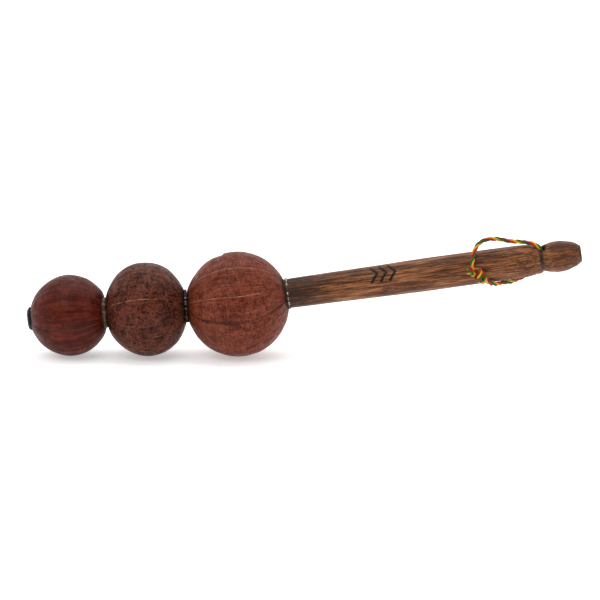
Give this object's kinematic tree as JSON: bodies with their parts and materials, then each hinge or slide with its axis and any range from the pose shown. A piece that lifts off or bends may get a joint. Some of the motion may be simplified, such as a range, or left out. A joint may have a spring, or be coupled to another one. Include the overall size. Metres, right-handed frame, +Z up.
{
  "type": "triple shell rattle",
  "caption": "Hand rattle: hard fruit shells strung on a carved wooden stick, with a round end knob, a twisted wrist cord and loose stones inside the shells.",
  "frame": {"origin": "middle of the length and width of the rattle without its cord, on the level surface that its shells lie on", "axes": "+X along the rattle towards the handle's knob, +Z up, +Y to its left side"},
  "size_m": [0.3064, 0.0584, 0.0672],
  "materials": {
    "handle_wood": "oiled, dark streaks along the grain",
    "small_shell": "smooth satin fruit shell",
    "medium_shell": "mottled satin fruit shell",
    "large_shell": "finely scratched satin fruit shell",
    "black_sealant": "satin black",
    "brown_glue": "cloudy brown, glossy",
    "clear_glue": "whitish, glossy",
    "twisted_cord": "three twisted strands: red, yellow and green",
    "stone": "small worn stones"
  },
  "bodies": {
    "rattle": {"stick": "handle_wood", "shell_small": "small_shell", "shell_medium": "medium_shell", "shell_large": "large_shell", "tip_seal": "black_sealant", "glue_small_medium": "brown_glue", "glue_medium_large": "brown_glue", "glue_handle": "clear_glue", "wrist_cord": "twisted_cord", "cord_knot": "twisted_cord", "cord_tails": "twisted_cord"},
    "stone_small_1": {"stone_small_1": "stone"},
    "stone_small_2": {"stone_small_2": "stone"},
    "stone_small_3": {"stone_small_3": "stone"},
    "stone_small_4": {"stone_small_4": "stone"},
    "stone_medium_1": {"stone_medium_1": "stone"},
    "stone_medium_2": {"stone_medium_2": "stone"},
    "stone_medium_3": {"stone_medium_3": "stone"},
    "stone_medium_4": {"stone_medium_4": "stone"},
    "stone_medium_5": {"stone_medium_5": "stone"},
    "stone_large_1": {"stone_large_1": "stone"},
    "stone_large_2": {"stone_large_2": "stone"},
    "stone_large_3": {"stone_large_3": "stone"},
    "stone_large_4": {"stone_large_4": "stone"},
    "stone_large_5": {"stone_large_5": "stone"},
    "stone_large_6": {"stone_large_6": "stone"}
  },
  "joints": [
    {"name": "stone_small_1_tumble", "type": "hinge", "parent": "rattle", "child": "stone_small_1", "pos_m": [-0.1295, 0, 0.0227], "axis": [0.9966, 0, 0.0825], "continuous": true},
    {"name": "stone_small_2_tumble", "type": "hinge", "parent": "rattle", "child": "stone_small_2", "pos_m": [-0.1295, 0, 0.0227], "axis": [0.9966, 0, 0.0825], "continuous": true},
    {"name": "stone_small_3_tumble", "type": "hinge", "parent": "rattle", "child": "stone_small_3", "pos_m": [-0.1295, 0, 0.0227], "axis": [0.9966, 0, 0.0825], "continuous": true},
    {"name": "stone_small_4_tumble", "type": "hinge", "parent": "rattle", "child": "stone_small_4", "pos_m": [-0.1295, 0, 0.0227], "axis": [0.9966, 0, 0.0825], "continuous": true},
    {"name": "stone_medium_1_tumble", "type": "hinge", "parent": "rattle", "child": "stone_medium_1", "pos_m": [-0.0872, 0, 0.0262], "axis": [0.9925, 0, 0.1219], "continuous": true},
    {"name": "stone_medium_2_tumble", "type": "hinge", "parent": "rattle", "child": "stone_medium_2", "pos_m": [-0.0872, 0, 0.0262], "axis": [0.9925, 0, 0.1219], "continuous": true},
    {"name": "stone_medium_3_tumble", "type": "hinge", "parent": "rattle", "child": "stone_medium_3", "pos_m": [-0.0872, 0, 0.0262], "axis": [0.9925, 0, 0.1219], "continuous": true},
    {"name": "stone_medium_4_tumble", "type": "hinge", "parent": "rattle", "child": "stone_medium_4", "pos_m": [-0.0872, 0, 0.0262], "axis": [0.9925, 0, 0.1219], "continuous": true},
    {"name": "stone_medium_5_tumble", "type": "hinge", "parent": "rattle", "child": "stone_medium_5", "pos_m": [-0.0872, 0, 0.0262], "axis": [0.9925, 0, 0.1219], "continuous": true},
    {"name": "stone_large_1_tumble", "type": "hinge", "parent": "rattle", "child": "stone_large_1", "pos_m": [-0.0367, 0, 0.0292], "axis": [0.9903, 0, 0.1392], "continuous": true},
    {"name": "stone_large_2_tumble", "type": "hinge", "parent": "rattle", "child": "stone_large_2", "pos_m": [-0.0367, 0, 0.0292], "axis": [0.9903, 0, 0.1392], "continuous": true},
    {"name": "stone_large_3_tumble", "type": "hinge", "parent": "rattle", "child": "stone_large_3", "pos_m": [-0.0367, 0, 0.0292], "axis": [0.9903, 0, 0.1392], "continuous": true},
    {"name": "stone_large_4_tumble", "type": "hinge", "parent": "rattle", "child": "stone_large_4", "pos_m": [-0.0367, 0, 0.0292], "axis": [0.9903, 0, 0.1392], "continuous": true},
    {"name": "stone_large_5_tumble", "type": "hinge", "parent": "rattle", "child": "stone_large_5", "pos_m": [-0.0367, 0, 0.0292], "axis": [0.9903, 0, 0.1392], "continuous": true},
    {"name": "stone_large_6_tumble", "type": "hinge", "parent": "rattle", "child": "stone_large_6", "pos_m": [-0.0367, 0, 0.0292], "axis": [0.9903, 0, 0.1392], "continuous": true}
  ]
}
